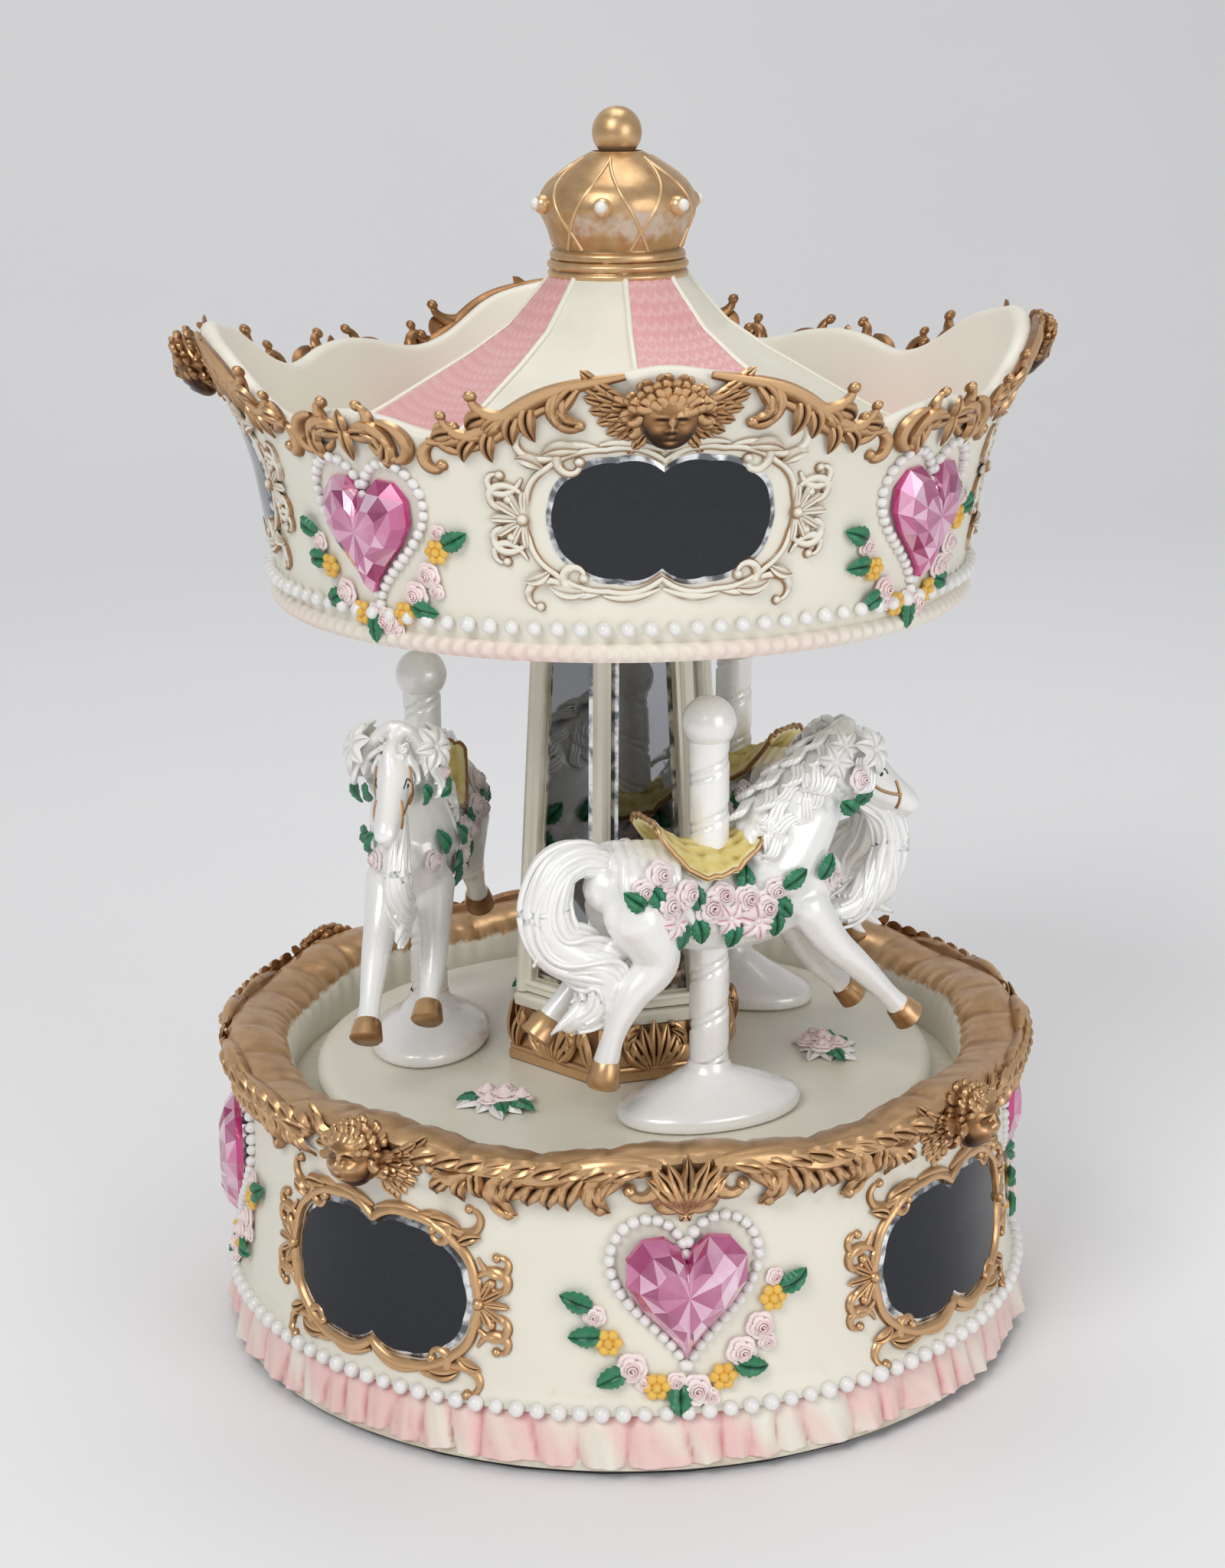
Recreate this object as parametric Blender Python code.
"""Wind-up carousel music box.

A hollow resin base holds an eighteen-note movement. The movement's spring barrel turns a shaft that
stands up through the base and carries the turntable, with its mirrored column, horses and canopy.

Lengths are in metres, +Z is up, and the origin is on the spin axis at the surface the box stands on.
Azimuths are in degrees, counted from the front (-Y) towards the right (+X).
"""

import math

import bmesh
import bpy
from mathutils import Matrix, Vector

MM = 0.001

# ---- clearances ---------------------------------------------------------------------------------
GAP = 0.3 * MM            # between two solids that touch, seat or are glued
RUN_GAP = 0.9 * MM        # under and around the turntable

# ---- base ---------------------------------------------------------------------------------------
BASE_RADIUS = 56.0 * MM   # outer wall, half way up
BASE_WALL = 5.6 * MM
BASE_HEIGHT = 44.6 * MM   # mean height of the gilded rim
SKIRT_FLARE = 3.4 * MM    # how far the ruffled skirt stands out past the wall
SKIRT_HEIGHT = 9.4 * MM
RIM_OVERHANG = 1.2 * MM
RIM_WAVE = 1.1 * MM
RIM_WIDTH = 7.0 * MM
DECK_THICKNESS = 2.6 * MM
FELT_THICKNESS = 0.8 * MM
PLATE_THICKNESS = 1.4 * MM
KEY_WELL_RADIUS = 19.0 * MM
KEY_WELL_DEPTH = 11.6 * MM
WELL_WALL = 1.4 * MM
PLATE_SCREW_RADIUS = 1.3 * MM
PLATE_BOSS_RADIUS = 3.4 * MM
PLATE_SCREW_LENGTH = 8.0 * MM

# ---- turntable, column and canopy ----------------------------------------------------------------
REST_TURN = -2.0          # the turntable's angle at rest
TURNTABLE_THICKNESS = 3.1 * MM
TURNTABLE_GAP = 3.6 * MM  # between the turntable's edge and the base's inner wall
TURNTABLE_DROP = 5.2 * MM  # how far its top lies under the rim's mean height
COLUMN_SIDES = 6
COLUMN_FACE_AZIMUTH = 11.0
PLINTH_RADIUS = 17.4 * MM  # to a corner
PLINTH_HEIGHT = 9.8 * MM
COLUMN_FOOT_RADIUS = 15.4 * MM
COLUMN_HEAD_RADIUS = 11.9 * MM
COLUMN_HEIGHT = 58.5 * MM
COLUMN_POST = 2.0 * MM
COLUMN_POCKET = 1.4 * MM
PANEL_THICKNESS = 0.8 * MM
CANOPY_RADIUS = 48.8 * MM  # at its lower edge
CANOPY_WALL = 4.4 * MM
CANOPY_SIDE = 29.8 * MM    # lower edge to the low points of the rim
CANOPY_TIP = 9.2 * MM      # how far the four tips rise above the low points
CANOPY_FLARE = 4.4 * MM    # how far the low points stand out past the lower edge
TIP_FLARE = 4.0 * MM       # how far the tips stand out past the low points
SOFFIT_THICKNESS = 2.4 * MM
ROOF_SEAT = 18.5 * MM      # the roof's lower edge above the canopy's lower edge
ROOF_RISE = 25.8 * MM
ROOF_TOP_RADIUS = 9.8 * MM
ROOF_THICKNESS = 2.2 * MM
CROWN_RADIUS = 10.7 * MM
CROWN_HEIGHT = 16.0 * MM
FINIAL_RADIUS = 3.5 * MM

# ---- gems and mirrors ----------------------------------------------------------------------------
PANELS = 4                 # repeats of each ornament around base and canopy
GEM_THICKNESS = 3.4 * MM
BASE_GEM = (16.4 * MM, 17.6 * MM)       # width, height
CANOPY_GEM = (14.4 * MM, 15.4 * MM)
GLASS_THICKNESS = 1.0 * MM
BASE_MIRROR = (31.0 * MM, 20.2 * MM)
CANOPY_MIRROR = (32.0 * MM, 17.2 * MM)
BASE_GEM_Z = 25.4 * MM
BASE_MIRROR_Z = 23.2 * MM
CANOPY_GEM_Z = 15.2 * MM   # above the canopy's lower edge
CANOPY_MIRROR_Z = 18.8 * MM

# ---- horses --------------------------------------------------------------------------------------
HORSES = 3
HORSE_AZIMUTH = 18.0
HORSE_RING = 29.0 * MM
POLE_RADIUS = 2.75 * MM
POLE_HEIGHT = 55.8 * MM    # turntable to the ball's centre
BALL_RADIUS = 3.7 * MM
FOOT_LENGTH = 27.0 * MM
FOOT_WIDTH = 17.4 * MM
FOOT_HEIGHT = 6.4 * MM
FOOT_EDGE = 1.8 * MM
SADDLE_HEIGHT = 34.0 * MM  # turntable to the middle of the horse's body
HORSE_SCALE = 1.0

# ---- movement ------------------------------------------------------------------------------------
BEDPLATE_THICKNESS = 2.0 * MM
BARREL_RADIUS = 11.6 * MM
BARREL_WALL = 1.0 * MM
BARREL_HEIGHT = 10.6 * MM
CROWN_TEETH = 24
CROWN_MEAN_RADIUS = 13.6 * MM
CROWN_FACE = 2.4 * MM
PINION_TEETH = 6
TOOTH_HEIGHT = 1.5 * MM
TOOTH_SHARE = 0.38         # of the pitch, at the pitch line
CYLINDER_RADIUS = 5.4 * MM
CYLINDER_LENGTH = 20.0 * MM
SHAFT_RADIUS = 1.1 * MM
COMB_TEETH = 18
WHEEL_TEETH = 30
WHEEL_MODULE = 0.42 * MM
GOVERNOR_TEETH = 12
WORM_WHEEL_TEETH = 12
WORM_RADIUS = 1.7 * MM
WORM_TURNS = 3
FLY_SPAN = 6.4 * MM
DRIVE_RADIUS = 1.8 * MM
KEY_SPAN = 21.0 * MM
KEY_THICKNESS = 2.2 * MM

# ---- heights that follow from the sizes above ----------------------------------------------------
PLATE_TOP = FELT_THICKNESS + GAP + PLATE_THICKNESS
SHELL_FOOT = PLATE_TOP + GAP
TURNTABLE_TOP = BASE_HEIGHT - TURNTABLE_DROP
TURNTABLE_FLOOR = TURNTABLE_TOP - TURNTABLE_THICKNESS
DECK_TOP = TURNTABLE_FLOOR - RUN_GAP
DECK_FLOOR = DECK_TOP - DECK_THICKNESS
WELL_CEILING = FELT_THICKNESS + GAP + KEY_WELL_DEPTH
BED_FLOOR = WELL_CEILING + WELL_WALL + GAP
BED_TOP = BED_FLOOR + BEDPLATE_THICKNESS
BARREL_FLOOR = BED_TOP + 1.9 * MM
BARREL_TOP = BARREL_FLOOR + BARREL_HEIGHT
INNER_RADIUS = BASE_RADIUS - BASE_WALL
BOWL_RADIUS = BASE_RADIUS - RIM_WIDTH
TURNTABLE_RADIUS = BOWL_RADIUS - TURNTABLE_GAP
COLUMN_FLOOR = TURNTABLE_TOP + GAP + PLINTH_HEIGHT + GAP
CANOPY_FLOOR = COLUMN_FLOOR + COLUMN_HEIGHT + GAP
ROOF_FLOOR = CANOPY_FLOOR + ROOF_SEAT
ROOF_TOP = ROOF_FLOOR + ROOF_RISE
CROWN_FLOOR = ROOF_TOP + GAP


# ---- helpers: materials, meshes, cuts ------------------------------------------------------------
def clear_scene():
    for obj in list(bpy.data.objects):
        bpy.data.objects.remove(obj, do_unlink=True)


def material(name, colour, roughness, metallic=0.0):
    made = bpy.data.materials.new(name)
    made.use_nodes = True
    shader = made.node_tree.nodes["Principled BSDF"]
    shader.inputs["Base Color"].default_value = (*colour, 1.0)
    shader.inputs["Roughness"].default_value = roughness
    shader.inputs["Metallic"].default_value = metallic
    return made


def finished(bm, name, paint, smooth=True, parent=None):
    """Turns a bmesh into a named object, in its parent's frame."""
    bmesh.ops.recalc_face_normals(bm, faces=bm.faces)
    mesh = bpy.data.meshes.new(name)
    bm.to_mesh(mesh)
    bm.free()
    mesh.materials.append(paint)
    if smooth:
        mesh.shade_smooth()
        mesh.set_sharp_from_angle(angle=math.radians(35))
    obj = bpy.data.objects.new(name, mesh)
    bpy.context.scene.collection.objects.link(obj)
    obj.parent = parent
    return obj


def axis_empty(name, place=(0.0, 0.0, 0.0), turn=0.0):
    """A joint's axis runs through this; the pieces that turn on it are its children."""
    empty = bpy.data.objects.new(name, None)
    bpy.context.scene.collection.objects.link(empty)
    empty.location = place
    empty.rotation_euler.z = math.radians(turn)
    return empty


def as_cutter(obj):
    obj.hide_render = True
    obj.display_type = "WIRE"
    return obj


def boolean(target, other, operation):
    modifier = target.modifiers.new(operation.title(), "BOOLEAN")
    modifier.operation = operation
    modifier.solver = "EXACT"
    modifier.object = as_cutter(other)


def spun(profile, steps):
    """A bmesh turned about Z from a closed (radius, height) outline."""
    bm = bmesh.new()
    points = [bm.verts.new((radius, 0, height)) for radius, height in profile]
    edges = [bm.edges.new(pair) for pair in zip(points, points[1:] + points[:1])]
    bmesh.ops.spin(bm, geom=points + edges, cent=(0, 0, 0), axis=(0, 0, 1),
                   angle=2 * math.pi, steps=steps, use_merge=False)
    bmesh.ops.remove_doubles(bm, verts=bm.verts, dist=0.002 * MM)
    bmesh.ops.dissolve_degenerate(bm, edges=bm.edges, dist=0.002 * MM)
    return bm


def turned(name, profile, steps, paint):
    return finished(spun(profile, steps), name, paint)


def prism(outline, low, high):
    """A bmesh between two heights, from a list of (x, y) points."""
    bm = bmesh.new()
    face = bm.faces.new([bm.verts.new((x, y, low)) for x, y in outline])
    made = bmesh.ops.extrude_face_region(bm, geom=[face])
    top = [v for v in made["geom"] if isinstance(v, bmesh.types.BMVert)]
    bmesh.ops.translate(bm, verts=top, vec=(0, 0, high - low))
    return bm


def rod(radius, low, high, sides=16):
    return prism(circle(radius, sides), low, high)


def circle(radius, count, centre=(0.0, 0.0)):
    turns = [2 * math.pi * (i + 0.5) / count for i in range(count)]
    return [(centre[0] + radius * math.cos(t), centre[1] + radius * math.sin(t)) for t in turns]


def block(size, centre):
    bm = bmesh.new()
    bmesh.ops.create_cube(bm, size=1.0)
    bmesh.ops.scale(bm, vec=size, verts=bm.verts)
    bmesh.ops.translate(bm, vec=centre, verts=bm.verts)
    return bm


def merged(*parts):
    """One bmesh that holds several, for a Remesh or a Boolean to join."""
    first = parts[0]
    for other in parts[1:]:
        mesh = bpy.data.meshes.new("part")
        other.to_mesh(mesh)
        other.free()
        first.from_mesh(mesh)
        bpy.data.meshes.remove(mesh)
    return first


def outward(azimuth, radius, height, tilt=0.0):
    """Local x to the right, y up and z outwards, at a place on a wall. Tilt tips the face downwards."""
    a, t = math.radians(azimuth), math.radians(tilt)
    right = Vector((math.cos(a), math.sin(a), 0))
    flat = Vector((math.sin(a), -math.cos(a), 0))
    out = flat * math.cos(t) - Vector((0, 0, math.sin(t)))
    up = Vector((0, 0, math.cos(t))) + flat * math.sin(t)
    place = Matrix((right, up, out)).transposed().to_4x4()
    place.translation = flat * radius + Vector((0, 0, height))
    return place


def azimuth_of(point):
    return math.degrees(math.atan2(point.x, -point.y))


def smoothstep(value):
    value = max(0.0, min(1.0, value))
    return value * value * (3 - 2 * value)


# ---- base shell ----------------------------------------------------------------------------------
def base_wave(azimuth):
    """The rim rises over each of the eight ornaments."""
    return RIM_WAVE * math.cos(math.radians(2 * PANELS * azimuth))


def base_shell(paint):
    skirt = BASE_RADIUS + SKIRT_FLARE
    crest = BASE_HEIGHT
    profile = [
        (INNER_RADIUS, SHELL_FOOT), (skirt, SHELL_FOOT), (skirt - 0.8 * MM, SKIRT_HEIGHT),
        (BASE_RADIUS + 1.0 * MM, SKIRT_HEIGHT + 1.4 * MM), (BASE_RADIUS, 0.5 * crest),
        (BASE_RADIUS - 0.3 * MM, crest - 8 * MM), (BASE_RADIUS + RIM_OVERHANG, crest - 3.2 * MM),
        (BASE_RADIUS + 0.3 * MM, crest), (BASE_RADIUS - 3.2 * MM, crest - 0.3 * MM),
        (BOWL_RADIUS, crest - 3.0 * MM), (BOWL_RADIUS, DECK_TOP),
        (DRIVE_HOLE_RADIUS, DECK_TOP), (DRIVE_HOLE_RADIUS, DECK_FLOOR), (INNER_RADIUS, DECK_FLOOR),
    ]
    bm = spun(profile, 48)
    for vert in bm.verts:
        share = smoothstep((vert.co.z - (crest - 9 * MM)) / (6 * MM))
        if vert.co.xy.length > BOWL_RADIUS - MM:
            vert.co.z += share * base_wave(azimuth_of(vert.co))
    shell = finished(bm, "base_shell", paint)
    for number, place in enumerate(plate_screw_places()):
        bosses = rod(PLATE_BOSS_RADIUS, SHELL_FOOT, DECK_FLOOR + MM, 12)
        bmesh.ops.translate(bosses, vec=place, verts=bosses.verts)
        boolean(shell, finished(bosses, f"boss_{number}", paint), "UNION")
    for number, place in enumerate(plate_screw_places()):
        hole = rod(PLATE_SCREW_RADIUS + GAP, 0, PLATE_TOP + PLATE_SCREW_LENGTH + GAP, 12)
        bmesh.ops.translate(hole, vec=place, verts=hole.verts)
        boolean(shell, finished(hole, f"boss_hole_{number}", paint), "DIFFERENCE")
    for number in range(PANELS):
        pocket = finished(mirror_blank(BASE_MIRROR, GAP, 6 * MM), f"base_pocket_{number}", paint)
        pocket.matrix_world = base_mirror_place(number, -GAP)
        boolean(shell, pocket, "DIFFERENCE")
    return shell


def plate_screw_places():
    ring = INNER_RADIUS - 0.1 * MM
    angles = [math.radians(a) for a in (60, 180, 300)]
    return [Vector((ring * math.cos(a), ring * math.sin(a), 0)) for a in angles]


def mirror_face_distance(radius, width):
    """How far from the axis a flat mirror's back lies, so that its ends stand just proud of the wall."""
    return math.sqrt(radius ** 2 - (width / 2) ** 2) + GAP - GLASS_THICKNESS


def base_mirror_place(number, forward=0.0):
    azimuth = (number + 0.5) * 360 / PANELS
    return outward(azimuth, mirror_face_distance(BASE_RADIUS, BASE_MIRROR[0]) + forward, BASE_MIRROR_Z)


# ---- gems and mirrors ----------------------------------------------------------------------------
CARTOUCHE = ((0.0, 0.80), (0.16, 0.97), (0.42, 0.99), (0.62, 0.76), (0.84, 0.56), (0.93, 0.38))


def cartouche(width, height, margin=0.0):
    """The mirrors' outline: two lobes above and below, and drawn-in ends."""
    half_width, half_height = width / 2 + margin, height / 2 + margin
    quarter = [(x * half_width, y * half_height) for x, y in CARTOUCHE] + [(half_width, 0.0)]
    right = quarter + [(x, -y) for x, y in reversed(quarter[:-1])]
    return right + [(-x, y) for x, y in reversed(right[1:-1])]


def mirror_blank(size, margin, depth):
    return prism(cartouche(*size, margin), 0, depth)


def heart(width, height, shrink=0.0):
    """A heart's outline, its point down, centred on its box."""
    points = []
    for i in range(16):
        t = 2 * math.pi * (i + 0.5) / 16
        x = math.sin(t) ** 3
        y = (13 * math.cos(t) - 5 * math.cos(2 * t) - 2 * math.cos(3 * t) - math.cos(4 * t)) / 14.5 + 0.17
        points.append((x * (width / 2 - shrink), y * (height / 2 - shrink)))
    return points


def gem(name, size, place, paint):
    """A flat-backed heart stone: a girdle, then a bevelled crown and a table."""
    bm = bmesh.new()
    levels = ((0.0, 0.0), (0.0, 0.45), (2.4 * MM, 1.0))
    rings = []
    for shrink, share in levels:
        rings.append([bm.verts.new((x, y, share * GEM_THICKNESS)) for x, y in heart(*size, shrink)])
    bm.faces.new(rings[0])
    bm.faces.new(rings[-1])
    for lower, upper in zip(rings, rings[1:]):
        for i in range(len(lower)):
            j = (i + 1) % len(lower)
            bm.faces.new((lower[i], lower[j], upper[j], upper[i]))
    obj = finished(bm, name, paint, smooth=False)
    obj.matrix_world = place


def base_jewels(gem_paint, glass):
    for number in range(PANELS):
        azimuth = number * 360 / PANELS
        place = outward(azimuth, BASE_RADIUS + 2 * GAP, BASE_GEM_Z)
        gem(f"base_gem_{number + 1}", BASE_GEM, place, gem_paint)
        plate = finished(mirror_blank(BASE_MIRROR, 0, GLASS_THICKNESS), f"base_mirror_{number + 1}", glass, False)
        plate.matrix_world = base_mirror_place(number)


# ---- bottom plate, felt and its screws -----------------------------------------------------------
def bottom(plate_paint, felt_paint, steel):
    edge = BASE_RADIUS + SKIRT_FLARE - 1.0 * MM
    low = FELT_THICKNESS + GAP
    well = KEY_WELL_RADIUS
    plate = turned("bottom_plate", [
        (well, low), (edge, low), (edge, PLATE_TOP), (well + WELL_WALL, PLATE_TOP),
        (well + WELL_WALL, WELL_CEILING + WELL_WALL), (ARBOR_RADIUS + GAP, WELL_CEILING + WELL_WALL),
        (ARBOR_RADIUS + GAP, WELL_CEILING), (well, WELL_CEILING),
    ], 32, plate_paint)
    turned("base_felt", [(well, 0), (edge - 1.4 * MM, 0), (edge - 1.4 * MM, FELT_THICKNESS),
                         (well, FELT_THICKNESS)], 32, felt_paint)
    for number, place in enumerate(plate_screw_places()):
        hole = rod(PLATE_SCREW_RADIUS + GAP, 0, PLATE_TOP + MM, 12)
        head_room = rod(2 * PLATE_SCREW_RADIUS + GAP, low - MM, low + 0.6 * PLATE_THICKNESS + GAP, 12)
        for cutter, kind in ((hole, "hole"), (head_room, "seat")):
            bmesh.ops.translate(cutter, vec=place, verts=cutter.verts)
            boolean(plate, finished(cutter, f"plate_{kind}_{number}", steel), "DIFFERENCE")
        screw(f"plate_screw_{number + 1}", place + Vector((0, 0, low)), PLATE_SCREW_RADIUS,
              0.6 * PLATE_THICKNESS, PLATE_THICKNESS + PLATE_SCREW_LENGTH, steel)
    for number, place in enumerate(movement_screw_places()):
        hole = rod(MOVEMENT_SCREW_RADIUS + GAP, 0, BED_TOP, 12)
        bmesh.ops.translate(hole, vec=place, verts=hole.verts)
        boolean(plate, finished(hole, f"well_hole_{number}", steel), "DIFFERENCE")


def screw(name, foot, radius, head, length, paint, upwards=True):
    """A screw whose head starts at foot. Upwards, its shank points up."""
    sign = 1 if upwards else -1
    profile = [(0, 0), (2 * radius, 0), (2 * radius, sign * head), (radius, sign * head),
               (radius, sign * length), (0, sign * length)]
    obj = turned(name, profile, 12, paint)
    obj.location = foot


# ---- turntable, column, canopy and roof ----------------------------------------------------------
DRIVE_HOLE_RADIUS = 6.2 * MM
HUB_RADIUS = 5.2 * MM
SHAFT_BITE = 6.2 * MM      # how deep the drive shaft enters the turntable and its hub


def turntable(paint, axis):
    bore = DRIVE_RADIUS + GAP
    hub_floor = DECK_FLOOR + 0.5 * MM
    profile = [
        (bore, hub_floor), (HUB_RADIUS, hub_floor), (HUB_RADIUS, TURNTABLE_FLOOR),
        (TURNTABLE_RADIUS - 1.5 * MM, TURNTABLE_FLOOR),
        (TURNTABLE_RADIUS, TURNTABLE_FLOOR + 0.45 * TURNTABLE_THICKNESS),
        (TURNTABLE_RADIUS - 0.5 * MM, TURNTABLE_TOP - 0.6 * MM), (TURNTABLE_RADIUS - 2.2 * MM, TURNTABLE_TOP),
        (0, TURNTABLE_TOP), (0, hub_floor + SHAFT_BITE), (bore, hub_floor + SHAFT_BITE),
    ]
    turned("turntable", profile, 40, paint).parent = axis


def tapered(sides, low_radius, high_radius, low, high, turn):
    """A tapered prism with a face, not a corner, at azimuth turn."""
    bm = bmesh.new()
    rings = []
    for radius, height in ((low_radius, low), (high_radius, high)):
        ring = []
        for i in range(sides):
            a = math.radians(turn + (i + 0.5) * 360 / sides)
            ring.append(bm.verts.new((radius * math.sin(a), -radius * math.cos(a), height)))
        rings.append(ring)
    bm.faces.new(rings[0])
    bm.faces.new(rings[1])
    walls = []
    for i in range(sides):
        j = (i + 1) % sides
        walls.append(bm.faces.new((rings[0][i], rings[0][j], rings[1][j], rings[1][i])))
    bmesh.ops.recalc_face_normals(bm, faces=bm.faces)
    return bm, walls


def column(resin, gilt, glass, axis):
    low, high = COLUMN_FLOOR, COLUMN_FLOOR + COLUMN_HEIGHT
    plinth, _ = tapered(COLUMN_SIDES, PLINTH_RADIUS, COLUMN_FOOT_RADIUS + 0.5 * MM,
                        TURNTABLE_TOP + GAP, TURNTABLE_TOP + GAP + PLINTH_HEIGHT, COLUMN_FACE_AZIMUTH)
    finished(plinth, "column_plinth", gilt, False).parent = axis
    core, walls = tapered(COLUMN_SIDES, COLUMN_FOOT_RADIUS, COLUMN_HEAD_RADIUS, low, high,
                          COLUMN_FACE_AZIMUTH)
    panels = [[v.co.copy() for v in wall.verts] for wall in walls]
    bmesh.ops.inset_individual(core, faces=walls, thickness=COLUMN_POST, depth=-COLUMN_POCKET)
    finished(core, "column", resin, False).parent = axis
    for number, corners in enumerate(panels):
        pane = bmesh.new()
        face = pane.faces.new([pane.verts.new(corner) for corner in corners])
        face.normal_update()
        inwards = -face.normal
        bmesh.ops.inset_individual(pane, faces=[face], thickness=COLUMN_POST + GAP,
                                   depth=-(COLUMN_POCKET - GAP))
        rim = [other for other in pane.faces if other is not face]
        bmesh.ops.delete(pane, geom=rim, context="FACES_ONLY")
        bmesh.ops.delete(pane, geom=[v for v in pane.verts if not v.link_faces], context="VERTS")
        made = bmesh.ops.extrude_face_region(pane, geom=[face])
        front = [v for v in made["geom"] if isinstance(v, bmesh.types.BMVert)]
        bmesh.ops.translate(pane, verts=front, vec=-inwards * PANEL_THICKNESS)
        finished(pane, f"column_mirror_{number + 1}", glass, False).parent = axis


def canopy_rim(azimuth):
    """(height above the lower edge, extra flare) of the canopy's wavy rim."""
    away = abs((azimuth + 45) % 90 - 45)
    tip = smoothstep((25 - away) / 16)
    leaf = smoothstep((away - 30) / 12)
    return CANOPY_SIDE + tip * CANOPY_TIP + leaf * 1.6 * MM, tip * TIP_FLARE


def canopy(paint, gem_paint, glass, axis):
    base, rise = CANOPY_RADIUS, CANOPY_FLOOR
    inner = base - CANOPY_WALL
    hole = COLUMN_HEAD_RADIUS * 0.55
    rim_marks = (0.55, 0.8, 1.0)
    flares = (0.22, 0.55, 1.0)
    outer = [(base + share * CANOPY_FLARE, rise + mark * CANOPY_SIDE) for mark, share in zip(rim_marks, flares)]
    lining = [(radius - CANOPY_WALL * wall, height) for (radius, height), wall in zip(outer, (1.0, 0.9, 0.6))]
    profile = [(hole, rise), (base - 0.5 * MM, rise), (base + 0.3 * MM, rise + 4.6 * MM), *outer,
               *reversed(lining), (inner, rise + SOFFIT_THICKNESS + 2 * MM),
               (inner - 2 * MM, rise + SOFFIT_THICKNESS), (hole, rise + SOFFIT_THICKNESS)]
    bm = spun(profile, 48)
    for vert in bm.verts:
        share = smoothstep((vert.co.z - rise - 0.5 * CANOPY_SIDE) / (0.5 * CANOPY_SIDE))
        top, flare = canopy_rim(azimuth_of(vert.co))
        spread = vert.co.xy * (share * flare / vert.co.xy.length)
        vert.co.x += spread.x
        vert.co.y += spread.y
        vert.co.z += share * (top - CANOPY_SIDE)
    shell = finished(bm, "canopy", paint)
    shell.parent = axis
    for number in range(PANELS):
        azimuth = number * 360 / PANELS
        wall = base + 0.16 * CANOPY_FLARE
        back = mirror_face_distance(wall, CANOPY_MIRROR[0])
        place = outward(azimuth, back, rise + CANOPY_MIRROR_Z, CANOPY_LEAN)
        pocket_place = outward(azimuth, back - GAP, rise + CANOPY_MIRROR_Z, CANOPY_LEAN)
        pocket = finished(mirror_blank(CANOPY_MIRROR, GAP, 6 * MM), f"canopy_pocket_{number}", glass)
        pocket.parent = axis
        pocket.matrix_parent_inverse = pocket_place
        boolean(shell, pocket, "DIFFERENCE")
        plate = finished(mirror_blank(CANOPY_MIRROR, 0, GLASS_THICKNESS), f"canopy_mirror_{number + 1}", glass, False)
        plate.parent = axis
        plate.matrix_parent_inverse = place
        stone_place = outward(azimuth + 180 / PANELS, wall + 1.2 * MM, rise + CANOPY_GEM_Z, CANOPY_LEAN)
        gem(f"canopy_gem_{number + 1}", CANOPY_GEM, Matrix.Identity(4), gem_paint)
        stone = bpy.data.objects[f"canopy_gem_{number + 1}"]
        stone.parent = axis
        stone.matrix_parent_inverse = stone_place


CANOPY_LEAN = 5.0


def roof_curve():
    """(radius, height) down the tent, from its top to its lower edge, which the canopy's lining holds."""
    edge = CANOPY_RADIUS - CANOPY_WALL - 0.6 * MM
    points = []
    for i in range(7):
        down = i / 6
        points.append((ROOF_TOP_RADIUS + (edge - ROOF_TOP_RADIUS) * down ** 1.35, ROOF_TOP - ROOF_RISE * down))
    return points


def roof_and_crown(cloth, gilt, axis):
    top_side = roof_curve()
    under = [(max(radius - ROOF_THICKNESS * 0.7, 0.2 * ROOF_TOP_RADIUS), height - ROOF_THICKNESS)
             for radius, height in top_side]
    profile = [(0, ROOF_TOP), *top_side, *reversed(under), (0, ROOF_TOP - ROOF_THICKNESS)]
    turned("roof", profile, 32, cloth).parent = axis
    low, wide = CROWN_FLOOR, CROWN_RADIUS
    neck = low + 0.25 * CROWN_HEIGHT
    ball = low + CROWN_HEIGHT + 0.72 * FINIAL_RADIUS
    profile = [(0, low), (0.88 * wide, low), (0.9 * wide, low + 1.6 * MM), (0.85 * wide, low + 2.0 * MM),
               (0.85 * wide, neck), (0.96 * wide, low + 0.48 * CROWN_HEIGHT), (wide, low + 0.62 * CROWN_HEIGHT),
               (0.9 * wide, low + 0.78 * CROWN_HEIGHT), (0.5 * wide, low + 0.97 * CROWN_HEIGHT)]
    for i in range(6):
        turn = math.radians(-55 + i * 29)
        profile.append((FINIAL_RADIUS * math.cos(turn), ball + FINIAL_RADIUS * math.sin(turn)))
    profile.append((0, ball + FINIAL_RADIUS))
    turned("crown_finial", profile, 24, gilt).parent = axis


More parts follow.
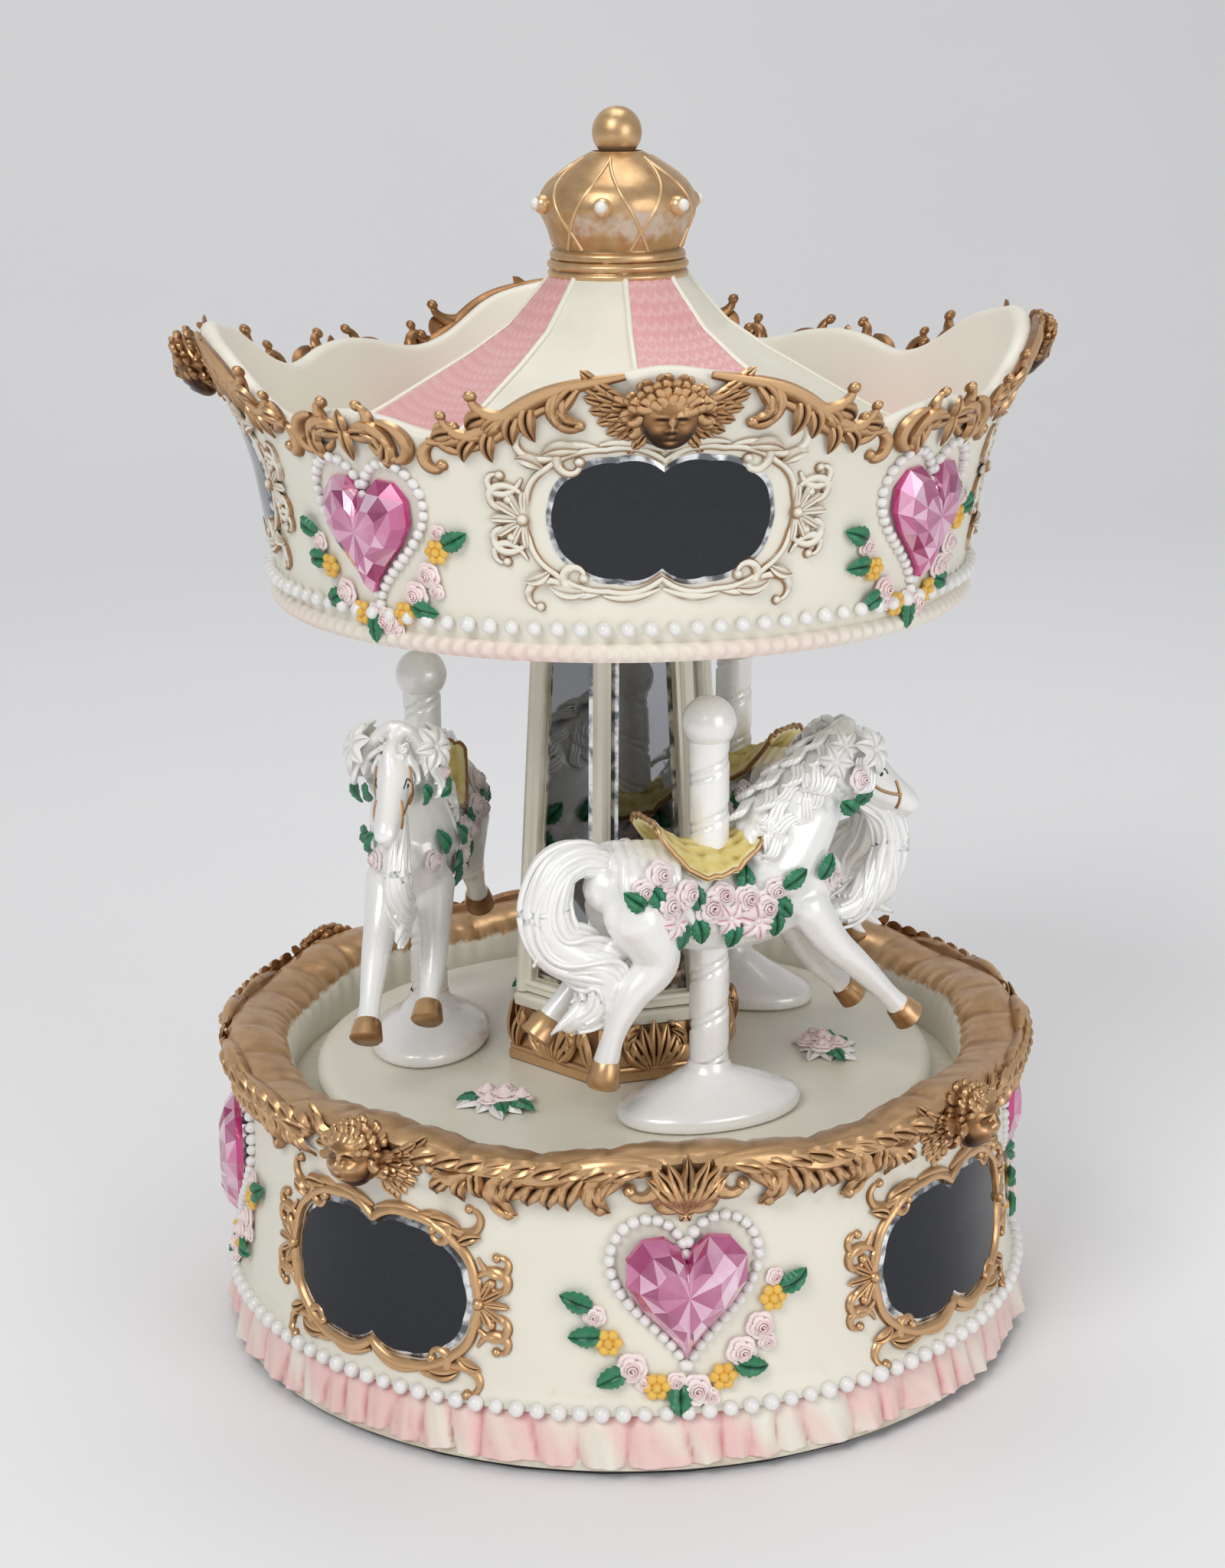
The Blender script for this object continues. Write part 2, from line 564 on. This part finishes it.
# ---- horses --------------------------------------------------------------------------------------
# Each limb is a chain of (forward, sideways, up, radius) in millimetres, from the middle of the body,
# where sideways is positive on the side that faces out of the carousel.
LIMBS = {
    "trunk": ((11.5, 0, 0.6, 6.2), (4, 0, -2.2, 5.8), (-4, 0, -1.6, 5.6), (-11, 0, 0.8, 6.3)),
    "chest": ((11, 0, 0, 5.8), (14.4, 0, 0.4, 4.8)),
    "neck": ((10.5, 0, 2.5, 5.6), (13.8, 0, 8.0, 4.9), (18.0, 0, 13.2, 4.2), (20.5, 0, 14.6, 3.8)),
    "head": ((21.0, 0, 14.4, 3.6), (25.0, 0, 11.2, 3.0), (29.0, 0, 8.2, 2.4), (31.4, 0, 6.6, 1.9)),
    "mane": ((5.5, 0, 8.0, 1.8), (9.5, 0, 12.6, 2.4), (14.5, 0, 15.6, 2.6), (19.5, 0, 17.2, 2.5), (23.2, 0, 15.6, 2.0)),
    "plume": ((26.0, -1, 7.6, 2.0), (27.6, -1, 2.0, 2.3), (26.4, -1, -3.5, 2.6), (21.5, -1, -7.6, 2.8),
              (16.5, 0, -6.5, 3.2)),
    "fore_leg_outer": ((14.0, 3.6, -7.0, 3.4), (20.0, 4.0, -13.0, 2.5), (26.0, 4.0, -19.5, 1.9),
                       (28.6, 4.0, -22.6, 2.2)),
    "fore_leg_inner": ((13.5, -3.6, -7.0, 3.4), (18.0, -4.0, -13.5, 2.5), (22.4, -4.0, -18.8, 1.9),
                       (24.2, -4.0, -20.8, 2.2)),
    "hind_leg_outer": ((-10.5, 3.4, -3.5, 5.0), (-8.8, 3.9, -9.4, 3.6), (-15.0, 4.0, -14.0, 2.3),
                       (-17.2, 4.0, -22.0, 1.9), (-18.4, 4.0, -25.0, 2.2)),
    "hind_leg_inner": ((-10.5, -3.4, -3.5, 5.0), (-10.5, -3.9, -9.0, 3.6), (-17.6, -4.0, -11.5, 2.3),
                       (-22.0, -4.0, -17.4, 1.9), (-24.0, -4.0, -19.8, 2.2)),
    "tail": ((-16.0, 0, 2.5, 2.6), (-21.0, 0.4, 4.4, 2.8), (-24.6, 0.8, 0.6, 3.0), (-23.4, 1.2, -6.0, 3.4),
             (-18.4, 1.6, -9.4, 4.0), (-16.6, 1.6, -14.0, 3.6), (-20.6, 1.2, -17.2, 2.4)),
    "saddle": ((-8.6, 0, 5.6, 3.4), (-4.0, 0, 3.8, 3.6), (2.0, 0, 3.4, 3.6), (5.6, 0, 4.6, 3.2)),
}


def limb(chain):
    """Overlapping balls along a chain, close enough together for a Remesh to join them smoothly."""
    parts = bmesh.new()
    for (ax, ay, az, ar), (bx, by, bz, br) in zip(chain, chain[1:]):
        start, end = Vector((ax, ay, az)), Vector((bx, by, bz))
        count = max(2, math.ceil((end - start).length / (0.45 * min(ar, br))))
        for i in range(count + 1):
            share = i / count
            spot = start.lerp(end, share) * (MM * HORSE_SCALE)
            radius = (ar + (br - ar) * share) * MM * HORSE_SCALE
            bmesh.ops.create_icosphere(parts, subdivisions=2, radius=radius, matrix=Matrix.Translation(spot))
    return parts


def horse_blank(paint):
    """The cast horse, before the pole's bore: limbs joined, smoothed and thinned to plain facets."""
    blank = finished(merged(*[limb(chain) for chain in LIMBS.values()]), "horse_blank", paint, False)
    remesh = blank.modifiers.new("Join", "REMESH")
    remesh.mode = "VOXEL"
    remesh.voxel_size = 0.9 * MM
    smooth = blank.modifiers.new("Smooth", "SMOOTH")
    smooth.factor = 0.5
    smooth.iterations = 3
    thin = blank.modifiers.new("Thin", "DECIMATE")
    thin.ratio = 0.045
    graph = bpy.context.evaluated_depsgraph_get()
    mesh = bpy.data.meshes.new_from_object(blank.evaluated_get(graph))
    bpy.data.objects.remove(blank)
    return mesh


def horses(pearl, axis):
    blank = horse_blank(pearl)
    for number in range(HORSES):
        azimuth = HORSE_AZIMUTH + number * 360 / HORSES
        name = f"horse_{number + 1}"
        # Local x runs forwards and z up, so y points in towards the axis and the side is mirrored.
        seat = outward(azimuth, HORSE_RING, TURNTABLE_TOP + SADDLE_HEIGHT)
        forward, up, out = (seat.col[i].to_3d() for i in range(3))
        place = Matrix((forward, -out, up)).transposed().to_4x4()
        place.translation = seat.translation
        body = bpy.data.objects.new(name, blank.copy())
        for vert in body.data.vertices:
            vert.co.y = -vert.co.y
        body.data.flip_normals()
        bpy.context.scene.collection.objects.link(body)
        body.parent = axis
        body.matrix_parent_inverse = place
        bore = finished(rod(POLE_RADIUS + GAP, -SADDLE_HEIGHT, SADDLE_HEIGHT, 12), f"{name}_bore", pearl)
        bore.parent = axis
        bore.matrix_parent_inverse = place
        boolean(body, bore, "DIFFERENCE")
        pole_and_foot(name, seat.translation.to_2d(), azimuth, pearl, axis)


def pole_and_foot(name, spot, azimuth, pearl, axis):
    floor = TURNTABLE_TOP + GAP
    ball = TURNTABLE_TOP + POLE_HEIGHT
    profile = [(0, floor + FOOT_EDGE), (POLE_RADIUS, floor + FOOT_EDGE)]
    start = math.asin(POLE_RADIUS / BALL_RADIUS) - math.pi / 2
    for i in range(6):
        turn = start + (math.pi / 2 - start) * i / 6
        profile.append((BALL_RADIUS * math.cos(turn), ball + BALL_RADIUS * math.sin(turn)))
    profile.append((0, ball + BALL_RADIUS))
    pole = turned(f"{name}_pole", profile, 14, pearl)
    pole.parent = axis
    pole.matrix_parent_inverse = Matrix.Translation((*spot, 0))
    bore = POLE_RADIUS + GAP
    half = FOOT_WIDTH / 2
    dome = [(bore, floor + FOOT_EDGE - GAP), (0, floor + FOOT_EDGE - GAP), (0, floor), (half - 0.4 * MM, floor),
            (half, floor + 0.5 * FOOT_EDGE), (half - 0.3 * MM, floor + FOOT_EDGE)]
    for i in range(1, 5):
        share = i / 4
        radius = (half - 0.3 * MM) + (bore + 0.9 * MM - half) * share
        dome.append((radius, floor + FOOT_EDGE + (FOOT_HEIGHT - FOOT_EDGE) * math.sin(share * math.pi / 2)))
    dome.append((bore, floor + FOOT_HEIGHT))
    bm = spun(dome, 20)
    stretch = FOOT_LENGTH / FOOT_WIDTH - 1
    for vert in bm.verts:
        reach = vert.co.xy.length
        vert.co.x *= 1 + stretch * smoothstep((reach - bore - 0.5 * MM) / (half - bore))
    foot = finished(bm, f"{name}_foot", pearl)
    foot.parent = axis
    foot.matrix_parent_inverse = Matrix.Translation((*spot, 0)) @ Matrix.Rotation(math.radians(azimuth), 4, "Z")


# ---- movement ------------------------------------------------------------------------------------
ARBOR_RADIUS = 1.9 * MM
MOVEMENT_SCREW_RADIUS = 1.1 * MM
CROWN_TIP = BARREL_TOP - 1.2 * MM                # the crown teeth's tips, which point down
PINION_RADIUS = CROWN_MEAN_RADIUS * PINION_TEETH / CROWN_TEETH   # at the pitch line
SHAFT_Z = CROWN_TIP + TOOTH_HEIGHT / 2 - PINION_RADIUS - 0.15 * MM
CYLINDER_START = CROWN_MEAN_RADIUS + 5.6 * MM
CYLINDER_END = CYLINDER_START + CYLINDER_LENGTH
OUTER_PLATE_X = CYLINDER_END + 1.6 * MM
BEARING_THICKNESS = 1.2 * MM
WHEEL_X = OUTER_PLATE_X + BEARING_THICKNESS + 0.6 * MM
WHEEL_FACE = 1.4 * MM
WHEEL_RADIUS = WHEEL_MODULE * WHEEL_TEETH / 2
WHEEL_TOOTH = 1.9 * WHEEL_MODULE
GOVERNOR_RADIUS = WHEEL_MODULE * GOVERNOR_TEETH / 2
GOVERNOR_Y = WHEEL_RADIUS + GOVERNOR_RADIUS + 0.1 * MM
WORM_WHEEL_RADIUS = WHEEL_MODULE * WORM_WHEEL_TEETH / 2
WORM_WHEEL_X = OUTER_PLATE_X - FLY_SPAN / 2 - 0.6 * MM
FLY_Y = GOVERNOR_Y + WORM_WHEEL_RADIUS + WORM_RADIUS + 0.1 * MM
GOVERNOR_SHAFT_RADIUS = 0.9 * MM
FLY_SHAFT_RADIUS = 0.7 * MM
FLY_TOP = SHAFT_Z + 5.7 * MM
COMB_Z = SHAFT_Z
COMB_TIP_Y = -(CYLINDER_RADIUS + 0.6 * MM)
COMB_DEPTH = 13.0 * MM
COMB_THICKNESS = 0.9 * MM
BED_BACK, BED_FRONT = 18.4 * MM, -21.4 * MM
BED_LEFT, BED_RIGHT = -16.0 * MM, 44.6 * MM


def movement_screw_places():
    return [Vector((15.0 * MM * math.cos(a), 15.0 * MM * math.sin(a), 0)) for a in (math.radians(105), math.radians(250))]


def gear_outline(teeth, radius, height, share=TOOTH_SHARE, turn=0.0):
    """Tapered teeth: root, flank, tip, flank, for each tooth. A tooth is centred at angle turn."""
    points = []
    pitch = 2 * math.pi / teeth
    for tooth in range(teeth):
        middle = turn + tooth * pitch
        for side, reach, width in ((-1, -0.5, 1.35), (-1, 0.5, 0.6), (1, 0.5, 0.6), (1, -0.5, 1.35)):
            a = middle + side * 0.5 * share * width * pitch
            r = radius + reach * height
            points.append((r * math.cos(a), r * math.sin(a)))
    return points


def along_x(bm, start, y=0.0, z=0.0):
    """Lays a part made along +Z down to run along +X, starting at x = start."""
    place = Matrix.Translation((start, y, z)) @ Matrix.Rotation(math.pi / 2, 4, "Y")
    bmesh.ops.transform(bm, matrix=place, verts=bm.verts)
    return bm


def bedplate(brass, steel):
    corner = 6 * MM
    outline = [(BED_LEFT, BED_FRONT + corner), (BED_LEFT + corner, BED_FRONT), (BED_RIGHT - corner, BED_FRONT),
               (BED_RIGHT, BED_FRONT + corner), (BED_RIGHT, BED_BACK - corner), (BED_RIGHT - corner, BED_BACK),
               (BED_LEFT + corner, BED_BACK), (BED_LEFT, BED_BACK - corner)]
    plate = finished(prism(outline, BED_FLOOR, BED_TOP), "bedplate", brass, False)
    riser_low, riser_high = BED_TOP - 0.4 * MM, COMB_Z - COMB_THICKNESS / 2 - GAP
    comb_middle = (CYLINDER_START + CYLINDER_END) / 2
    riser_depth = 5.6 * MM
    riser = block((CYLINDER_LENGTH, riser_depth, riser_high - riser_low),
                  (comb_middle, COMB_TIP_Y - COMB_DEPTH + riser_depth / 2, (riser_low + riser_high) / 2))
    boolean(plate, finished(riser, "comb_riser", brass, False), "UNION")
    inner = block((BEARING_THICKNESS, 8 * MM, SHAFT_Z + 3 * MM - riser_low),
                  (CYLINDER_START - 1.6 * MM, 0, (SHAFT_Z + 3 * MM + riser_low) / 2))
    boolean(plate, finished(inner, "inner_bearing", brass, False), "UNION")
    bores = [along_x(rod(SHAFT_RADIUS + GAP, 0, 6 * MM, 12), CYLINDER_START - 5 * MM, 0, SHAFT_Z)]
    bores.append(rod(ARBOR_RADIUS + GAP, BED_FLOOR - MM, BED_TOP + MM, 14))
    for place in movement_screw_places():
        hole = rod(MOVEMENT_SCREW_RADIUS + GAP, BED_FLOOR - MM, BED_TOP + MM, 12)
        bmesh.ops.translate(hole, vec=place, verts=hole.verts)
        bores.append(hole)
    for place in comb_screw_places():
        hole = rod(COMB_SCREW_RADIUS + GAP, riser_high - 4 * MM, riser_high + MM, 12)
        bmesh.ops.translate(hole, vec=place, verts=hole.verts)
        bores.append(hole)
    foot = rod(FLY_SHAFT_RADIUS + GAP, BED_TOP - 1.2 * MM, BED_TOP + MM, 12)
    bmesh.ops.translate(foot, vec=(WORM_WHEEL_X, FLY_Y, 0), verts=foot.verts)
    bores.append(foot)
    for number, bore in enumerate(bores):
        boolean(plate, finished(bore, f"bed_bore_{number}", brass), "DIFFERENCE")
    for number, place in enumerate(movement_screw_places()):
        head = 1.0 * MM
        foot = place + Vector((0, 0, WELL_CEILING - GAP - head))
        screw(f"movement_screw_{number + 1}", foot, MOVEMENT_SCREW_RADIUS, head,
              head + WELL_WALL + BEDPLATE_THICKNESS + 1.0 * MM, steel)


COMB_SCREW_RADIUS = 1.0 * MM


def comb_screw_places():
    middle = (CYLINDER_START + CYLINDER_END) / 2
    return [Vector((middle + side * 6.0 * MM, COMB_TIP_Y - COMB_DEPTH + 2.8 * MM, 0)) for side in (-1, 1)]


def comb(steel):
    """Tuned steel teeth that point at the cylinder."""
    pitch = CYLINDER_LENGTH / COMB_TEETH
    slit = 0.3 * MM
    tip, heel, back = COMB_TIP_Y, COMB_TIP_Y - COMB_DEPTH + 6.6 * MM, COMB_TIP_Y - COMB_DEPTH
    outline = [(CYLINDER_START, back)]
    for tooth in range(COMB_TEETH):
        left = CYLINDER_START + tooth * pitch + slit / 2
        right = left + pitch - slit
        outline += [(left, heel), (left, tip), (right, tip), (right, heel)]
    outline[1] = (CYLINDER_START, heel)
    outline[2] = (CYLINDER_START, tip)
    outline[-2] = (CYLINDER_END, tip)
    outline[-1] = (CYLINDER_END, heel)
    outline.append((CYLINDER_END, back))
    low = COMB_Z - COMB_THICKNESS / 2
    plate = finished(prism(outline, low, low + COMB_THICKNESS), "comb", steel, False)
    for number, place in enumerate(comb_screw_places()):
        hole = rod(COMB_SCREW_RADIUS + GAP, low - MM, low + 2 * MM, 12)
        bmesh.ops.translate(hole, vec=place, verts=hole.verts)
        boolean(plate, finished(hole, f"comb_hole_{number}", steel), "DIFFERENCE")
        top = place + Vector((0, 0, low + COMB_THICKNESS + GAP + 0.8 * MM))
        screw(f"comb_screw_{number + 1}", top, COMB_SCREW_RADIUS, 0.8 * MM, 4.4 * MM, steel, upwards=False)


def barrel_and_spring(brass, steel):
    """The spring's drum, closed above by the crown wheel that drives the cylinder's pinion."""
    inside = BARREL_RADIUS - BARREL_WALL
    flange = CROWN_MEAN_RADIUS + CROWN_FACE / 2
    root = CROWN_TIP + TOOTH_HEIGHT
    lid = root + 1.4 * MM
    drum = turned("spring_barrel", [
        (inside, BARREL_FLOOR), (BARREL_RADIUS, BARREL_FLOOR), (BARREL_RADIUS, root), (flange, root),
        (flange, lid), (0, lid), (0, BARREL_TOP - 0.4 * MM), (inside, BARREL_TOP - 0.4 * MM),
    ], 24, brass)
    crown = bmesh.new()
    stations = []
    pitch = 2 * math.pi / CROWN_TEETH
    for tooth in range(CROWN_TEETH):
        for side, tip, width in ((-1, False, 1.35), (-1, True, 0.6), (1, True, 0.6), (1, False, 1.35)):
            a = tooth * pitch + side * 0.5 * TOOTH_SHARE * width * pitch
            stations.append((a, CROWN_TIP if tip else root))
    rings = []
    for a, low in stations:
        inner_r, outer_r = CROWN_MEAN_RADIUS - CROWN_FACE / 2, flange - 0.05 * MM
        corners = ((inner_r, low), (outer_r, low), (outer_r, root + 0.3 * MM), (inner_r, root + 0.3 * MM))
        rings.append([crown.verts.new((r * math.cos(a), r * math.sin(a), z)) for r, z in corners])
    for first, second in zip(rings, rings[1:] + rings[:1]):
        for i in range(4):
            j = (i + 1) % 4
            crown.faces.new((first[i], first[j], second[j], second[i]))
    boolean(drum, finished(crown, "crown_teeth", brass, False), "UNION")
    shaft_low = lid + GAP
    shaft_high = DECK_FLOOR + 0.5 * MM + SHAFT_BITE - GAP
    turned("drive_shaft", [(0, shaft_low), (2.2 * DRIVE_RADIUS, shaft_low), (2.2 * DRIVE_RADIUS, shaft_low + MM),
                           (DRIVE_RADIUS, shaft_low + MM), (DRIVE_RADIUS, shaft_high), (0, shaft_high)], 16, steel)
    spring(steel, inside)


def spring(steel, inside):
    """The mainspring, a steel strip wound in a spiral between arbor and drum."""
    turns, steps = 3, 16
    strip = 0.35 * MM
    low, high = BARREL_FLOOR + 1.0 * MM, BARREL_TOP - 1.2 * MM
    first, last = ARBOR_RADIUS + GAP + strip, inside - GAP - strip
    bm = bmesh.new()
    rings = []
    for i in range(turns * steps + 1):
        share = i / (turns * steps)
        a = 2 * math.pi * turns * share
        r = first + (last - first) * share
        corners = ((r, low), (r + strip, low), (r + strip, high), (r, high))
        rings.append([bm.verts.new((x * math.cos(a), x * math.sin(a), z)) for x, z in corners])
    bm.faces.new(rings[0])
    bm.faces.new(rings[-1])
    for one, two in zip(rings, rings[1:]):
        for i in range(4):
            j = (i + 1) % 4
            bm.faces.new((one[i], one[j], two[j], two[i]))
    finished(bm, "mainspring", steel, False)


def key_and_arbor(brass, steel):
    top = BARREL_TOP - 0.4 * MM - 2 * GAP
    low = FELT_THICKNESS + 1.6 * MM
    key_high = WELL_CEILING - 1.6 * MM
    arbor = finished(rod(ARBOR_RADIUS, key_high - 5 * MM, top, 14), "winding_arbor", steel)
    ratchet_low, ratchet_high = BED_TOP + GAP, BARREL_FLOOR - 2 * GAP
    outline = []
    for tooth in range(12):
        a = 2 * math.pi * tooth / 12
        outline += [(6.0 * MM * math.cos(a), 6.0 * MM * math.sin(a)), (4.8 * MM * math.cos(a), 4.8 * MM * math.sin(a))]
    boolean(arbor, finished(prism(outline, ratchet_low, ratchet_high), "ratchet_teeth", steel, False), "UNION")
    barrel = rod(3.4 * MM, low + 2 * MM, key_high, 16)
    key = finished(barrel, "winding_key", brass)
    wing = []
    for side in (1, -1):
        centre = side * (KEY_SPAN / 2 - 3.6 * MM)
        arc = circle(3.6 * MM, 16, (centre, low + 4.2 * MM))
        wing.append(arc)
    for number, arc in enumerate(wing):
        lobe = prism(arc, -KEY_THICKNESS / 2, KEY_THICKNESS / 2)
        bmesh.ops.rotate(lobe, cent=(0, 0, 0), matrix=Matrix.Rotation(math.pi / 2, 3, "X"), verts=lobe.verts)
        boolean(key, finished(lobe, f"key_wing_{number}", brass, False), "UNION")
    bar = block((KEY_SPAN - 8 * MM, KEY_THICKNESS, 5 * MM), (0, 0, low + 4.2 * MM))
    boolean(key, finished(bar, "key_bar", brass, False), "UNION")
    socket = rod(ARBOR_RADIUS + GAP, key_high - 5 * MM - GAP, key_high + MM, 14)
    boolean(key, finished(socket, "key_socket", brass), "DIFFERENCE")


def click(steel):
    """The spring pawl that holds the ratchet while the box plays."""
    low, high = BED_TOP + GAP, BARREL_FLOOR - 2 * GAP
    outline = [(-14.0 * MM, 8.6 * MM), (-1.4 * MM, 7.2 * MM), (-0.9 * MM, 6.3 * MM), (-1.6 * MM, 6.5 * MM),
               (-14.0 * MM, 7.4 * MM)]
    finished(prism(outline, low, high), "ratchet_click", steel, False)


def cylinder_and_governor(brass, steel, plastic):
    axis = axis_empty("cylinder_axis", (0, 0, SHAFT_Z))
    start = CROWN_MEAN_RADIUS - CROWN_FACE / 2 + 0.2 * MM
    pinion_end = CROWN_MEAN_RADIUS + CROWN_FACE / 2
    end = WHEEL_X + WHEEL_FACE + 0.5 * MM
    arbor = finished(along_x(rod(SHAFT_RADIUS, 0, end - start, 12), start), "cylinder_arbor", steel, parent=axis)
    # A space between two pinion teeth faces the crown wheel's tooth at rest.
    outline = gear_outline(PINION_TEETH, PINION_RADIUS, TOOTH_HEIGHT, turn=math.pi / PINION_TEETH)
    pinion = along_x(prism(outline, 0, pinion_end - start), start)
    boolean(arbor, finished(pinion, "cylinder_pinion", brass, False, axis), "UNION")
    outline = gear_outline(WHEEL_TEETH, WHEEL_RADIUS, WHEEL_TOOTH, turn=math.pi / 2)
    wheel = along_x(prism(outline, 0, WHEEL_FACE), WHEEL_X)
    boolean(arbor, finished(wheel, "great_wheel", brass, False, axis), "UNION")
    drum = [(SHAFT_RADIUS + GAP, 0), (CYLINDER_RADIUS, 0), (CYLINDER_RADIUS, CYLINDER_LENGTH),
            (SHAFT_RADIUS + GAP, CYLINDER_LENGTH)]
    finished(along_x(spun(drum, 28), CYLINDER_START), "pin_cylinder", brass, parent=axis)

    axis = axis_empty("governor_axis", (0, GOVERNOR_Y, SHAFT_Z))
    start = WORM_WHEEL_X - WHEEL_FACE / 2
    shaft = finished(along_x(rod(GOVERNOR_SHAFT_RADIUS, 0, end - start, 12), start), "governor_arbor", steel,
                     parent=axis)
    outline = gear_outline(GOVERNOR_TEETH, GOVERNOR_RADIUS, WHEEL_TOOTH,
                           turn=math.pi / GOVERNOR_TEETH - math.pi / 2)
    second = along_x(prism(outline, 0, WHEEL_FACE + 0.4 * MM), WHEEL_X - 0.2 * MM)
    boolean(shaft, finished(second, "governor_pinion", brass, False, axis), "UNION")
    outline = gear_outline(WORM_WHEEL_TEETH, WORM_WHEEL_RADIUS, WHEEL_TOOTH, share=0.34, turn=math.pi / 2)
    worm_wheel = along_x(prism(outline, 0, WHEEL_FACE), start)
    boolean(shaft, finished(worm_wheel, "worm_wheel", plastic, False, axis), "UNION")
    outer_bearing(brass)
    air_brake(steel)


def outer_bearing(brass):
    low = BED_TOP + GAP
    back, front = FLY_Y + 3.0 * MM, -5.0 * MM
    x = OUTER_PLATE_X + BEARING_THICKNESS / 2
    high = FLY_TOP + GAP + 1.3 * MM
    plate = finished(block((BEARING_THICKNESS, back - front, high - low), (x, (back + front) / 2, (low + high) / 2)),
                     "bearing_plate", brass, False)
    arm_length = OUTER_PLATE_X - WORM_WHEEL_X + 2.6 * MM
    arm = block((arm_length, 5 * MM, 1.3 * MM), (OUTER_PLATE_X + 0.4 * MM - arm_length / 2, FLY_Y, high - 0.65 * MM))
    boolean(plate, finished(arm, "fly_arm", brass, False), "UNION")
    top_hole = rod(FLY_SHAFT_RADIUS + GAP, high - 3 * MM, high + MM, 12)
    bmesh.ops.translate(top_hole, vec=(WORM_WHEEL_X, FLY_Y, 0), verts=top_hole.verts)
    start = OUTER_PLATE_X - 2 * MM
    cuts = [along_x(rod(SHAFT_RADIUS + GAP, 0, 5 * MM, 12), start, 0, SHAFT_Z),
            along_x(rod(GOVERNOR_SHAFT_RADIUS + GAP, 0, 5 * MM, 12), start, GOVERNOR_Y, SHAFT_Z), top_hole]
    for number, cut in enumerate(cuts):
        boolean(plate, finished(cut, f"bearing_bore_{number}", brass), "DIFFERENCE")


def air_brake(steel):
    """The worm on its upright shaft, with the two-winged fly that beats the air."""
    axis = axis_empty("fly_axis", (WORM_WHEEL_X, FLY_Y, 0))
    shaft = rod(FLY_SHAFT_RADIUS, BED_TOP - 0.8 * MM, FLY_TOP + 1.2 * MM, 12)
    brake = finished(shaft, "air_brake", steel, parent=axis)
    lead = 2 * math.pi * WORM_WHEEL_RADIUS / WORM_WHEEL_TEETH
    thread = bmesh.new()
    steps = 16
    core = WORM_RADIUS - 1.0 * MM
    half_root, half_tip = 0.30 * lead, 0.13 * lead
    tip = WORM_RADIUS + 0.8 * WHEEL_MODULE
    rings = []
    # A gap of the thread, not the thread, faces the worm wheel's tooth at rest.
    middle = SHAFT_Z - WORM_TURNS * lead / 2
    for i in range(WORM_TURNS * steps + 1):
        a = 2 * math.pi * i / steps - math.pi / 2
        z = middle + lead * i / steps
        corners = ((core, z - half_root), (tip, z - half_tip), (tip, z + half_tip), (core, z + half_root))
        rings.append([thread.verts.new((r * math.cos(a), r * math.sin(a), h)) for r, h in corners])
    thread.faces.new(rings[0])
    thread.faces.new(rings[-1])
    for one, two in zip(rings, rings[1:]):
        for i in range(4):
            j = (i + 1) % 4
            thread.faces.new((one[i], one[j], two[j], two[i]))
    hub = rod(core + 0.15 * MM, middle - 0.7 * MM, middle + WORM_TURNS * lead + 0.7 * MM, 12)
    wings = block((FLY_SPAN, 0.7 * MM, 2.4 * MM), (0, 0, FLY_TOP - 1.3 * MM))
    for name, piece in (("worm_core", hub), ("worm_thread", thread), ("fly_wings", wings)):
        boolean(brake, finished(piece, name, steel, False, axis), "UNION")


# ---- the whole box -------------------------------------------------------------------------------
def build():
    clear_scene()
    cream = material("cream_resin", (0.86, 0.85, 0.76), 0.45)
    pearl = material("pearl_paint", (0.90, 0.89, 0.87), 0.25)
    gilt = material("gilt_paint", (0.58, 0.38, 0.20), 0.35, 0.9)
    cloth = material("roof_paint", (0.88, 0.72, 0.70), 0.5)
    stone = material("pink_acrylic", (0.85, 0.25, 0.50), 0.05)
    glass = material("mirror_glass", (0.85, 0.87, 0.88), 0.02, 1.0)
    brass = material("brass", (0.75, 0.58, 0.30), 0.3, 1.0)
    steel = material("steel", (0.60, 0.60, 0.62), 0.3, 1.0)
    plastic = material("white_plastic", (0.88, 0.88, 0.86), 0.4)
    plate = material("grey_plastic", (0.25, 0.24, 0.24), 0.5)
    felt = material("grey_felt", (0.20, 0.20, 0.21), 0.95)

    base_shell(cream)
    base_jewels(stone, glass)
    bottom(plate, felt, steel)
    bedplate(brass, steel)
    comb(steel)
    click(steel)
    key_and_arbor(brass, steel)
    barrel_and_spring(brass, steel)
    cylinder_and_governor(brass, steel, plastic)

    axis = axis_empty("carousel_axis", turn=REST_TURN)
    turntable(cream, axis)
    column(cream, gilt, glass, axis)
    canopy(cream, stone, glass, axis)
    roof_and_crown(cloth, gilt, axis)
    horses(pearl, axis)


build()
